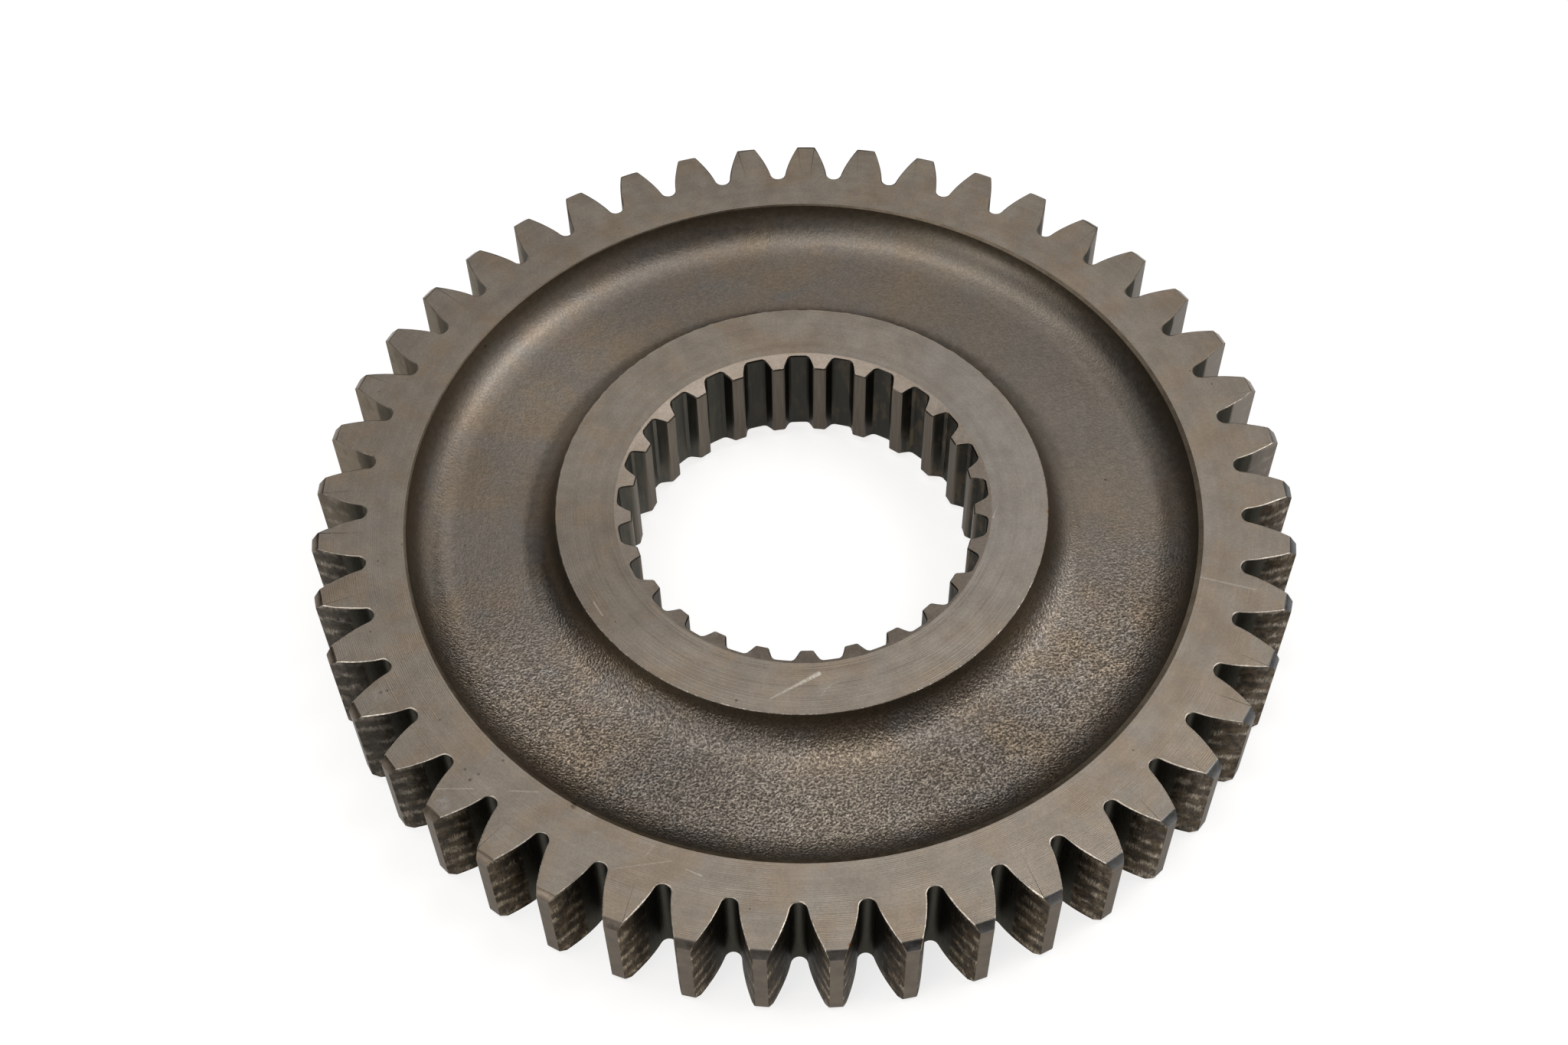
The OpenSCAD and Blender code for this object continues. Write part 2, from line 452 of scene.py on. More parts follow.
def steel(tree, output, color, roughness, normal, anisotropy=0.0, glancing=1.0):
    """Steel with this colour, roughness and relief.

    anisotropy draws the shine out across the turning marks. glancing is the strength of the shine at
    a glancing view, which a skin of oxide holds down.
    """
    shader = node(tree, "BsdfPrincipled", {
        "Base Color": color, "Metallic": 1.0, "Roughness": roughness, "Anisotropic": anisotropy,
        "Specular Tint": (glancing, glancing, glancing, 1), "Normal": normal})
    if anisotropy:
        around = node(tree, "Tangent", direction_type="RADIAL", axis="Z").outputs[0]
        tree.links.new(around, shader.inputs["Tangent"])
    tree.links.new(shader.outputs[0], output.inputs["Surface"])


# Radii of the lowest worked line of the flanks and of the middle of the roots
WORKED_R = 67.1
ROOT_MIDDLE_R = 64.3
# Pitch of the crests that the hob's feed left up the flanks, and how far its wander bends them
FEED_PITCH = 3.2
FEED_BEND = 3.2
FEED_COMB = 2.6
# The stretch of the streaks that run up the teeth
UP_THE_TEETH = (1, 1, 12)
# The directions from the axis to the flanks that carry a painted reflection of the pale floor at the left
# and painted light at the right, and to the flanks that carry painted shade at the front left
REFLECTION_LEFT = (-0.77, 0.64, 0)
LIT_RIGHT = (0.79, 0.62, 0)
SHADED_FRONT = (-0.71, -0.70, 0)
FLANK_BROWN = ((0.048, 0.041, 0.034), (0.078, 0.060, 0.042))
FLANK_BROWN_LEFT = (0.058, 0.053, 0.046)
FLANK_GOLD = ((0.40, 0.330, 0.243), (0.38, 0.330, 0.268))
FLANK_GOLD_LEFT = (0.25, 0.225, 0.195)
# Painted reflection of the pale floor on the flanks at the left, and painted light on the flanks at the
# right
FLANK_REFLECTION_LEFT = (0.262, 0.221, 0.170)
FLANK_LIT_RIGHT = (0.335, 0.304, 0.273)
ROOT_BLACK = (0.074, 0.070, 0.058)
# Painted reflection of the pale floor on the roots at the left
ROOT_REFLECTION = (0.190, 0.162, 0.126)


def tooth_flank():
    """Brown oxide over the worked flanks, rubbed to gold on the crests of the feed, above black roots."""
    material, tree, output = empty_material("tooth_flank")
    at = coordinates(tree)
    comb = cloud(tree, at.place, 0.14, 2, 0.6, UP_THE_TEETH)
    bends = cloud(tree, at.place, 3.5, 3, 0.6)
    along = slope(tree, bends, FEED_BEND, slope(tree, comb, FEED_COMB, at.height))
    crests = spread(tree, wave(tree, along, FEED_PITCH), 0.50, 1.0)
    streaks = cloud(tree, at.place, 0.20, 3, 0.65, UP_THE_TEETH)
    patches = cloud(tree, at.place, 2.2, 3, 0.6, (1, 1, 1.5))
    rubbed = product(
        tree,
        spread(tree, streaks, 0.36, 0.70, 0.25, 1),
        spread(tree, patches, 0.38, 0.60, 0.12, 1),
        spread(tree, crests, 0, 1, 0.18, 1))
    far_left = spread(tree, at.x, -60, -40, 0.8, 0)
    brown = tint(tree, spread(tree, cloud(tree, at.place, 1.6, 3, 0.6), 0.42, 0.62), *FLANK_BROWN)
    brown = tint(tree, far_left, brown, FLANK_BROWN_LEFT)
    gold = tint(tree, spread(tree, at.x, 10, 60), *FLANK_GOLD)
    gold = tint(tree, far_left, gold, FLANK_GOLD_LEFT)
    worked = shade(
        tree, tint(tree, rubbed, brown, gold),
        spread(tree, at.r, 67.5, 71.0, 0.75, 1.40),
        spread(tree, cloud(tree, at.place, 0.8, 3, 0.6), 0.25, 0.75, 0.8, 1.2),
        # The next two factors are painted shade: darker toward the right, and where the flanks face the
        # front left
        spread(tree, at.x, 15, 60, 0.95, 0.88),
        spread(tree, toward(tree, at.flat, SHADED_FRONT), 0.88, 0.97, 1, 0.75))
    # Painted reflection of the pale floor on the flanks and roots at the left, and painted light on the
    # flanks at the right
    reflection_left = product(
        tree,
        spread(tree, toward(tree, at.flat, REFLECTION_LEFT), 0.68, 0.88, 0, 0.88),
        spread(tree, patches, 0.34, 0.54, 0.7, 1))
    lit_right = spread(tree, toward(tree, at.flat, LIT_RIGHT), 0.77, 0.96, 0, 0.85)
    worked = tint(tree, reflection_left, worked, FLANK_REFLECTION_LEFT)
    worked = tint(tree, lit_right, worked, FLANK_LIT_RIGHT)
    root = tint(tree, product(tree, reflection_left, 0.6), ROOT_BLACK, ROOT_REFLECTION)
    uneven_r = slope(tree, cloud(tree, at.place, 3, 3), 0.8, at.r)
    color = tint(tree, spread(tree, uneven_r, WORKED_R, WORKED_R + 0.6), root, worked)
    roughness = spread(tree, streaks, 0.3, 0.7, 0.36, 0.50)
    marks = relief(tree, slope(tree, crests, 0.5, streaks), 0.014)
    steel(tree, output, color, roughness, marks, glancing=0.4)
    return material


LAND_BROWN = ((0.132, 0.110, 0.087), (0.158, 0.130, 0.100))
LAND_RUBBED = (0.22, 0.19, 0.15)


def tooth_land():
    """The turned outside of the teeth, brown, with fine lines round it and a few rubbed places."""
    material, tree, output = empty_material("tooth_land")
    at = coordinates(tree)
    lines = cloud(tree, at.place, 0.22, 2, 0.5, (14, 14, 1))
    # Painted light: the lands at the front left are drawn lighter
    front_left = product(tree, spread(tree, at.x, -52, -36, 1, 0), spread(tree, at.y, -52, -36, 1, 0))
    color = tint(tree, spread(tree, cloud(tree, at.place, 2.5, 3), 0.35, 0.65), *LAND_BROWN)
    color = shade(
        tree, color, changed(tree, front_left, 0.22), spread(tree, lines, 0.25, 0.75, 0.88, 1.12))
    rubs = spread(tree, cloud(tree, at.place, 0.6, 4, 0.7), 0.56, 0.70, 0, 0.4)
    color = tint(tree, rubs, color, LAND_RUBBED)
    roughness = spread(tree, lines, 0.3, 0.7, 0.34, 0.44)
    steel(tree, output, color, roughness, relief(tree, lines, 0.008), glancing=0.6)
    return material


# The chamfers of the tooth tips, of the rim's inner edge and of the bore's lead-in cones
TIP_LEFT = (0.150, 0.120, 0.092)
TIP_RIGHT = (0.128, 0.130, 0.131)
# Painted light on the chamfers of the far tips
TIP_FAR_LIT = (0.245, 0.207, 0.165)
RIM_EDGE_BROWN = ((0.195, 0.158, 0.115), (0.245, 0.202, 0.152))
LEAD_IN_BRIGHT = ((0.40, 0.345, 0.298), (0.36, 0.305, 0.250))
# A nick in the edge of the recess: its place and radius
NICK = ((-30.35, -49.72), 0.75)
NICK_BLACK = (0.035, 0.03, 0.025)


def turned_chamfer():
    """Turned chamfers: dull at the tooth tips, brown at the rim's inner edge and bright in the bore, with
    painted light toward the front and on the far tip chamfers.
    """
    material, tree, output = empty_material("turned_chamfer")
    at = coordinates(tree)
    rim_edge = tint(tree, spread(tree, cloud(tree, at.place, 2.5, 4), 0.35, 0.65), *RIM_EDGE_BROWN)
    # Painted light: the rim's chamfer lighter toward the front
    rim_edge = shade(tree, rim_edge, spread(tree, at.y, -30, 0, 1.4, 1))
    lead_in = tint(tree, spread(tree, cloud(tree, at.place, 3, 3), 0.3, 0.7), *LEAD_IN_BRIGHT)
    # Painted light: the lead-in cones lighter toward the front
    lead_in = shade(tree, lead_in, spread(tree, at.y, -26, -4, 1.22, 1.04))
    # Painted light: the tip chamfers lighter toward the front, and given a light colour at the back
    tip = shade(
        tree, tint(tree, spread(tree, at.x, -62, 58), TIP_LEFT, TIP_RIGHT),
        spread(tree, cloud(tree, at.place, 2, 3), 0.3, 0.7, 0.85, 1.15),
        spread(tree, at.y, -48, -5, 1.2, 1))
    tip = tint(tree, spread(tree, at.y, 4, 25, 0, 0.8), tip, TIP_FAR_LIT)
    color = tint(tree, spread(tree, at.r, 40, 44), lead_in, rim_edge)
    color = tint(tree, spread(tree, at.r, 60, 66), color, tip)
    color = shade(tree, color, spread(tree, cloud(tree, at.place, 0.35, 3, 0.6), 0.25, 0.75, 0.88, 1.12))
    color = tint(tree, spot(tree, at.flat, *NICK), color, NICK_BLACK)
    roughness = spread(tree, cloud(tree, at.place, 1, 3), 0.3, 0.7, 0.33, 0.42)
    steel(tree, output, color, roughness, relief(tree, rings_round(tree, at.r, 0.2), 0.006))
    return material


# The burr of the hub and that of the teeth: bare metal in bits with painted glints in the front, and
# painted shade over it at the back
HUB_BURR_BROWN = (0.25, 0.217, 0.18)
TOOTH_BURR_PALE = (0.46, 0.41, 0.35)
FAR_BURR_SHADE = (0.17, 0.145, 0.117)
BARE_BITS_AND_GLINT = (0.72, 0.67, 0.60)
# Grains of rust on the edges: place and radius
RUST = (((6.56, -69.52), 0.35), ((35.72, -1.74), 0.45))
RUST_ORANGE = (0.32, 0.14, 0.05)


def burr_metal():
    """The metal of the burrs, bare in bits that carry painted glints in the front, with painted shade at
    the back.
    """
    material, tree, output = empty_material("burr")
    at = coordinates(tree)
    # Painted shade at the back: there the bare bits and their painted glints fade and the colour turns dark
    far = spread(tree, slope(tree, at.x, -0.2, at.y), -5, 12)
    from_root = calc(tree, "ABSOLUTE", calc(tree, "SUBTRACT", at.r, ROOT_MIDDLE_R))
    bits = product(
        tree,
        spread(tree, cloud(tree, at.place, 0.5, 3, 0.6), 0.44, 0.62),
        spread(tree, at.r, 40, 60, 0.5, 1),
        spread(tree, from_root, 0.8, 2.5, 0.2, 1),
        changed(tree, far, -0.95))
    color = tint(tree, spread(tree, at.r, 40, 60), HUB_BURR_BROWN, TOOTH_BURR_PALE)
    color = tint(tree, far, color, FAR_BURR_SHADE)
    color = tint(tree, bits, color, BARE_BITS_AND_GLINT)
    rust = most(tree, [spot(tree, at.flat, place, size) for place, size in RUST])
    color = tint(tree, rust, color, RUST_ORANGE)
    steel(tree, output, color, 0.38, relief(tree, cloud(tree, at.place, 0.3, 2), 0.04))
    return material


# Rim: the flat ring at each end between the teeth and the forged recess, faced on a lathe.
# A small chamfer breaks its inner edge, true to the axis, so the forging off the axis makes it
# wide on one side and narrow on the other. The hub is faced in the same cut.
RIM_WALL = 5.95
RIM_EDGE = 0.4
# Distances from the roots to the two rings of points where the mesh grows coarser
RIM_RINGS = (0.8, 1.7)
RECESS_DRAFT = math.radians(10)
FORGING_SHIFT = 0.28
FORGING_SHIFT_ANGLE = math.radians(130)
ROUND_POINTS = tooth_points // 2
ENDS = ("upper", "lower")

recess_outer_r = root_r - RIM_WALL
forging_centre = FORGING_SHIFT * np.array([math.cos(FORGING_SHIFT_ANGLE), math.sin(FORGING_SHIFT_ANGLE)])


def circle(r, count=ROUND_POINTS, centre=(0, 0)):
    """A round outline that starts in line with the first tooth space."""
    angle = FIRST_SPACE_ANGLE + 2 * math.pi * np.arange(count) / count
    return np.stack([r * np.cos(angle), r * np.sin(angle)], 1) + centre


# Where the chamfer cone runs out into the forged wall, or its full depth where the wall lies further in
round_angles = FIRST_SPACE_ANGLE + 2 * math.pi * np.arange(ROUND_POINTS) / ROUND_POINTS
wall_shift = FORGING_SHIFT * np.cos(round_angles - FORGING_SHIFT_ANGLE)
chamfer_depth = np.minimum((RIM_EDGE - wall_shift) / (1 - math.tan(RECESS_DRAFT)), RIM_EDGE)

rim_inner = {}
for end in ENDS:
    fine = ring(circle(root_r - RIM_RINGS[0], tooth_points), end, 0)
    strip(tooth_edge[end], fine, end, "turned_face")
    coarse = ring(circle(root_r - RIM_RINGS[1]), end, 0)
    halving_strip(fine, coarse, end, "turned_face")
    edge = ring(circle(recess_outer_r + RIM_EDGE), end, 0)
    strip(coarse, edge, end, "turned_face")
    mouth_r = recess_outer_r - chamfer_depth * math.tan(RECESS_DRAFT)
    rim_inner[end] = ring(circle(mouth_r, centre=forging_centre), end, chamfer_depth)
    strip(edge, rim_inner[end], end, "turned_chamfer")

TURNING_PITCH = 0.27
# Scratches on the upper end face: their two ends, width, brightness and taper
SCRATCHES = (
    ((-4.15, -33.21), (2.48, -29.21), 0.45, 1.0, 0.66),
    ((2.84, -32.75), (3.41, -31.77), 0.13, 0.14, 0),
    ((3.41, -31.77), (4.26, -30.91), 0.13, 0.22, 0),
    ((4.26, -30.91), (5.32, -30.42), 0.13, 0.14, 0),
    ((28.28, -0.96), (27.65, -2.86), 0.18, 0.45, 0.6),
    ((-29.5, -17.6), (-28.1, -19.9), 0.18, 0.35, 0),
    ((-48.96, -47.42), (-43.82, -47.39), 0.13, 0.35, 0),
    ((-39.06, -47.66), (-35.10, -47.83), 0.14, 0.30, 0),
    ((-24.15, -58.99), (-16.87, -57.88), 0.13, 0.2, 0),
    ((-20.19, -57.06), (-19.28, -55.69), 0.13, 0.2, 0),
    ((-14.89, -59.05), (-12.75, -59.97), 0.18, 0.45, 0.4),
    ((-9.42, -61.83), (-5.02, -62.21), 0.13, 0.2, 0),
    ((56.39, -12.91), (64.31, -15.07), 0.18, 0.3, 0),
    ((-28.2, -50.8), (-27.9, -50.9), 0.22, 0.8, 0))
# Dark pits in it: place and radius
PITS = (
    ((-8.87, -33.52), 0.32), ((-58.03, -32.56), 0.34), ((-57.19, -32.27), 0.26),
    ((-49.48, -36.84), 0.24), ((-45.28, -44.44), 0.28), ((-44.47, -46.07), 0.34),
    ((-43.36, -45.18), 0.26), ((-40.24, -43.07), 0.28), ((-30.22, -49.95), 0.55))
# Radii of the dark lines that the tool has left on the hub face, near the bore
TOOL_LINES = (28.2, 28.6, 28.85, 31.2)
# A patch of painted shade on the left of the hub face: place and radius
HUB_SHADE_PATCH = ((-29.0, -12.0), 21.0)
# A tooth corner rubbed bright: place and radius
RUBBED_CORNER = ((-47.81, -49.61), 1.5)
FACE_BROWN = ((0.325, 0.284, 0.240), (0.330, 0.270, 0.210))
FACE_GREY = (0.310, 0.288, 0.262)
TOOL_LINE_BROWN = (0.12, 0.095, 0.07)
PIT_BROWN = (0.088, 0.060, 0.036)
SCRATCH_BRIGHT = (0.74, 0.69, 0.62)
CORNER_BRIGHT = (0.42, 0.40, 0.385)


def swing(tree, pattern, contrast):
    """A factor about 1, from a pattern about 0.5."""
    return changed(tree, calc(tree, "SUBTRACT", pattern, 0.5), contrast)


def specks(tree, place, spacing, size, share):
    """Where small round specks lie: one to each random cell of this spacing, in this share of the cells."""
    cells = node(tree, "TexVoronoi", {"Vector": place, "Scale": 1 / spacing}).outputs
    chosen = node(tree, "SeparateXYZ", {0: cells["Color"]}).outputs["X"]
    chosen = calc(tree, "LESS_THAN", chosen, share)
    reach = size / spacing
    return product(tree, chosen, spread(tree, cells["Distance"], 0.4 * reach, reach, 1, 0))


def line_mark(tree, flat, start, end, width, taper):
    """Where a straight mark lies between two points, seen along the axis. taper thins its start."""
    start, end = Vector((*start, 0)), Vector((*end, 0))
    along = end - start
    gone = node(tree, "VectorMath", {0: flat, 1: start}, operation="SUBTRACT").outputs[0]
    way = along / along.length_squared
    share = node(tree, "VectorMath", {0: gone, 1: way}, operation="DOT_PRODUCT").outputs["Value"]
    share = node(tree, "Clamp", {0: share}).outputs[0]
    nearest = node(tree, "VectorMath", {0: along, "Scale": share}, operation="SCALE").outputs[0]
    gap = node(tree, "VectorMath", {0: gone, 1: nearest}, operation="DISTANCE").outputs["Value"]
    if not taper:
        return spread(tree, gap, 0.3 * width, width, 1, 0)
    full = slope(tree, share, taper, 1 - taper)
    return product(tree, full, spread(tree, calc(tree, "DIVIDE", gap, full), 0.3 * width, width, 1, 0))


def turned_face():
    """The faced ends of rim and hub: fine turning lines under a thin brown film, with marks of wear."""
    material, tree, output = empty_material("turned_face")
    at = coordinates(tree)
    upper = calc(tree, "GREATER_THAN", at.height, FACE_W / 2)
    color = tint(tree, spread(tree, cloud(tree, at.place, 9, 5, 0.6), 0.44, 0.62), *FACE_BROWN)
    grey_hub = product(
        tree,
        spread(tree, at.r, 34, 38, 1, 0),
        spread(tree, at.x, -6, 26, 0, 0.8),
        spread(tree, at.y, -30, -10))
    grey_clouds = spread(tree, cloud(tree, at.place, 5, 4, 0.6, (1, 1.3, 1)), 0.54, 0.72, 0, 0.5)
    color = tint(tree, most(tree, [grey_hub, grey_clouds]), color, FACE_GREY)

    lines = wave(tree, slope(tree, rings_round(tree, at.r, 2.5), 0.5, at.r), TURNING_PITCH)
    grooves = rings_round(tree, at.r, 0.20, 2)
    mottle = cloud(tree, at.place, 0.38, 4, 0.65)
    clear = product(
        tree,
        spread(tree, cloud(tree, at.place, 7, 3), 0.38, 0.60, 0.35, 1),
        spread(tree, at.y, -34, 4, 1, 0.25))
    color = shade(
        tree, color,
        swing(tree, lines, product(tree, clear, 0.14)),
        swing(tree, grooves, product(tree, clear, spread(tree, at.r, 37, 56, 0.72, 0.4))),
        spread(tree, rings_round(tree, at.r, 1.1, 3), 0.25, 0.75, 0.96, 1.04),
        spread(tree, mottle, 0.25, 0.75, 0.90, 1.10),
        spread(tree, cloud(tree, at.place, 4, 4, 0.65), 0.3, 0.7, 0.91, 1.09),
        # Painted shade on the left of the hub face
        changed(tree, spot(tree, at.flat, *HUB_SHADE_PATCH), -0.22))

    from_lines = [calc(tree, "ABSOLUTE", calc(tree, "SUBTRACT", at.r, r)) for r in TOOL_LINES]
    tool = most(tree, [spread(tree, gap, 0.03, 0.10, 1, 0) for gap in from_lines])
    broken = spread(tree, cloud(tree, at.place, 3.0, 3), 0.40, 0.55, 0.15, 1)
    near = spread(tree, at.y, -14, 4, 1, 0)
    color = tint(tree, product(tree, tool, broken, upper, near, 0.4), color, TOOL_LINE_BROWN)
    pits = most(tree, [spot(tree, at.flat, place, size) for place, size in PITS])
    pits = product(tree, upper, pits, spread(tree, cloud(tree, at.place, 0.3, 3, 0.7), 0.35, 0.55, 0.5, 1))
    pits = most(tree, [specks(tree, at.place, 3.4, 0.2, 0.30), pits])
    color = tint(tree, product(tree, pits, 0.75), color, PIT_BROWN)
    rust = most(tree, [spot(tree, at.flat, place, size) for place, size in RUST])
    color = tint(tree, product(tree, upper, rust, 0.8), color, RUST_ORANGE)
    scratches = most(tree, [
        product(tree, line_mark(tree, at.flat, start, end, width, taper), strength)
        for start, end, width, strength, taper in SCRATCHES])
    worn = spread(tree, cloud(tree, at.place, 0.32, 3, 0.7), 0.36, 0.54, 0.35, 1)
    color = tint(tree, product(tree, scratches, worn, upper), color, SCRATCH_BRIGHT)
    patchy = spread(tree, cloud(tree, at.place, 0.9, 3, 0.7), 0.38, 0.5)
    corner = product(tree, spot(tree, at.flat, *RUBBED_CORNER), upper, patchy, 0.6)
    color = tint(tree, corner, color, CORNER_BRIGHT)

    roughness = spread(tree, cloud(tree, at.place, 2.5, 4, 0.6), 0.3, 0.7, 0.34, 0.43)
    turned = relief(tree, product(tree, lines, clear), 0.009)
    turned = relief(tree, calc(tree, "ADD", grooves, mottle), 0.007, turned)
    steel(tree, output, color, roughness, turned, 0.25)
    return material


# Web: the thin plate between rim and hub, left as forged. Its two recesses have drafted walls and
# round fillets, the die has left it a little uneven, and shot blasting has pebbled its black skin.
HUB_WALL = 8.95
SPLINE_MAJOR_D = 54.0
RECESS_DEPTH = 5.5
HUB_FILLET = 5.4
RIM_FILLET = 6.4
LUMP_HEIGHT = 0.045
LUMP_LENGTHS = (7.0, 26.0)
LUMP_WAVES = 40
# Further depth below the top of the wall at which the lumps reach their full height
LUMP_FADE = 2.0
FILLET_STEPS = 12
FLOOR_STEPS = 8
WALL_START = 0.75

recess_inner_r = SPLINE_MAJOR_D / 2 + HUB_WALL


def recess_profile(step):
    """Radii and depths across a recess from its outer wall to its inner wall, taking every step-th ring."""
    radii, depths = [], []
    tan, cos = math.tan(RECESS_DRAFT), math.cos(RECESS_DRAFT)
    for side, wall_r, fillet in ((-1, recess_outer_r, RIM_FILLET), (1, recess_inner_r, HUB_FILLET)):
        axis_in = RECESS_DEPTH * tan + fillet * (1 / cos - tan)
        first_turn = math.asin((WALL_START + fillet - RECESS_DEPTH) / fillet)
        turn = np.linspace(first_turn, math.pi / 2, FILLET_STEPS // step + 1)
        radii.append(wall_r + side * (axis_in - fillet * np.cos(turn)))
        depths.append(RECESS_DEPTH - fillet + fillet * np.sin(turn))
    floor_r = np.linspace(radii[0][-1], radii[1][-1], FLOOR_STEPS // step + 1)[1:-1]
    r = np.concatenate([radii[0], floor_r, radii[1][::-1]])
    depth = np.concatenate([depths[0], np.full(len(floor_r), RECESS_DEPTH), depths[1][::-1]])
    return r, depth


def lumps(outline, seed):
    """Uneven height of the forged skin at these points, as a sum of seeded random waves."""
    rng = np.random.default_rng(seed)
    length = rng.uniform(*LUMP_LENGTHS, LUMP_WAVES)
    heading = rng.uniform(0, 2 * math.pi, LUMP_WAVES)
    offset = rng.uniform(0, 2 * math.pi, LUMP_WAVES)
    waves = np.stack([np.cos(heading), np.sin(heading)]) * 2 * math.pi / length
    height = (length / LUMP_LENGTHS[1]) * np.cos(outline @ waves + offset)
    return height.sum(1) / math.sqrt(LUMP_WAVES)


recess_end = {}
for end, step, seed in (("upper", 1, 21), ("lower", 2, 22)):
    profile_r, profile_depth = recess_profile(step)
    along_r, along_depth = np.gradient(profile_r), np.gradient(profile_depth)
    length = np.hypot(along_r, along_depth)
    last = rim_inner[end]
    for i, (r, depth) in enumerate(zip(profile_r, profile_depth)):
        outline = circle(r, centre=forging_centre)
        height = LUMP_HEIGHT * lumps(outline, seed) * min(1, (depth - WALL_START) / LUMP_FADE)
        unit = (outline - forging_centre) / r
        outline = outline - unit * (height * along_depth[i] / length[i])[:, None]
        here = ring(outline, end, depth + height * along_r[i] / length[i])
        strip(last, here, end, "forged_skin")
        last = here
    recess_end[end] = last

# Paler patches of the forged skin: place and radius
PALE_PATCHES = (
    ((38.0, -22.0), 15.0), ((-34.0, -30.0), 17.0), ((-36.0, 24.0), 21.0), ((4.0, -50.0), 19.0))
# Size of the pebbles that the shot has left, and their height
PEBBLE_SIZE = 0.34
PEBBLE_DEPTH = 0.26
SKIN_BROWN = ((0.252, 0.224, 0.195), (0.268, 0.222, 0.177))
SKIN_BLUE = (0.222, 0.212, 0.203)
SKIN_GOLD = (0.278, 0.224, 0.166)
SKIN_GREY = (0.238, 0.214, 0.187)
WALL_BROWN = (0.200, 0.173, 0.132)
SPECK_BLACK = (0.05, 0.045, 0.04)


def forged_skin():
    """Dark forging skin, pebbled by the shot in the front and smooth at the back."""
    material, tree, output = empty_material("forged_skin")
    at = coordinates(tree)
    from_middle = calc(tree, "ABSOLUTE", calc(tree, "SUBTRACT", at.height, FACE_W / 2))
    up_wall = spread(tree, from_middle, FACE_W / 2 - RECESS_DEPTH + 0.5, FACE_W / 2)
    by_hub = spread(tree, at.r, recess_inner_r + 5, recess_inner_r + 10, 1, 0)
    # Painted shade under the rim, on the right and front of the web
    shade_under_rim = product(
        tree, spread(tree, at.r, 51, 54), spread(tree, slope(tree, at.y, -1.3, at.x), -10, 30))
    far_right = product(tree, spread(tree, at.x, 10, 36), spread(tree, at.y, -6, 16), 0.7)
    near = product(
        tree,
        spread(tree, calc(tree, "ABSOLUTE", at.x), 14, 32, 1, 0),
        spread(tree, at.y, -46, -34, 1, 0), 0.65)

    color = tint(tree, spread(tree, cloud(tree, at.place, 11, 4, 0.55), 0.40, 0.62), *SKIN_BROWN)
    blue = spread(tree, cloud(tree, at.place, 6, 4, 0.6, (1.3, 1, 1)), 0.52, 0.68, 0, 0.55)
    color = tint(tree, blue, color, SKIN_BLUE)
    gold = spread(tree, cloud(tree, at.place, 13, 3, 0.55), 0.50, 0.62, 0, 0.7)
    color = tint(tree, gold, color, SKIN_GOLD)
    color = tint(tree, most(tree, [far_right, near]), color, SKIN_GREY)
    color = tint(tree, up_wall, color, WALL_BROWN)

    pebble = cloud(tree, at.place, PEBBLE_SIZE, 2, 0.5, twist=0.2)
    grain = cloud(tree, at.place, 0.9, 3, 0.6)
    blasted = product(
        tree,
        changed(tree, up_wall, -0.75),
        spread(tree, slope(tree, at.x, -0.13, at.y), -32, 2, 1, 0.15),
        changed(tree, by_hub, -0.22))
    # The crests of the pebbles are drawn lighter and their hollows darker: partly wear, partly painted
    # sparkle and painted shade in the hollows
    crest = product(tree, calc(tree, "SUBTRACT", spread(tree, pebble, 0.34, 0.72), 0.45), blasted)
    pale = most(tree, [spot(tree, at.flat, place, size) for place, size in PALE_PATCHES])
    unit = node(tree, "VectorMath", {0: at.flat}, operation="NORMALIZE").outputs[0]
    on_hub = node(tree, "VectorMath", {0: unit, "Scale": recess_inner_r}, operation="SCALE").outputs[0]
    flow = cloud(tree, on_hub, 0.5, 3, 0.6)
    color = shade(
        tree, color,
        slope(tree, crest, 1.2, 0.96),
        # Painted shade: darker at the back and under the rim
        spread(tree, at.y, 8, 48, 1, 0.92),
        changed(tree, shade_under_rim, -0.16),
        spread(tree, grain, 0.25, 0.75, 0.90, 1.10),
        changed(tree, pale, 0.25),
        swing(tree, flow, spread(tree, at.r, recess_inner_r + 2, recess_inner_r + 10, 0.22, 0)))
    color = tint(tree, product(tree, specks(tree, at.place, 5.0, 0.28, 0.25), 0.8), color, SPECK_BLACK)

    roughness = slope(tree, crest, -0.18, spread(tree, grain, 0.3, 0.7, 0.33, 0.38))
    roughness = slope(tree, by_hub, spread(tree, at.y, -12, 12, -0.02, 0.05), roughness)
    roughness = calc(tree, "ADD", roughness, spread(tree, at.y, -12, 12, 0, 0.06))
    steel(tree, output, color, roughness, relief(tree, product(tree, pebble, blasted), PEBBLE_DEPTH))
    return material


# Hub: the thick ring round the bore, faced on the same lathe. It stands as high as the rim, and
# the tool has pushed a thin burr over its outer edge, where the forged wall begins. Painted glints make the
# burr bright in the front.
HUB_RINGS = 3
# Widths of flat face from its outer edge and from the lead-in cone to the nearest ring of points
HUB_EDGE_W = 0.8
HUB_BORE_W = 1.0
# Height of the hub's burr as a share of that of the teeth
HUB_BURR = 0.65
UPPER_LEAD_IN_W = 0.55
UPPER_LEAD_IN_ANGLE = math.radians(15)
LOWER_LEAD_IN_W = 1.25
LOWER_LEAD_IN_ANGLE = math.radians(25)
LEAD_IN = {
    "upper": (SPLINE_MAJOR_D / 2 + UPPER_LEAD_IN_W, math.tan(UPPER_LEAD_IN_ANGLE)),
    "lower": (SPLINE_MAJOR_D / 2 + LOWER_LEAD_IN_W, math.tan(LOWER_LEAD_IN_ANGLE))}

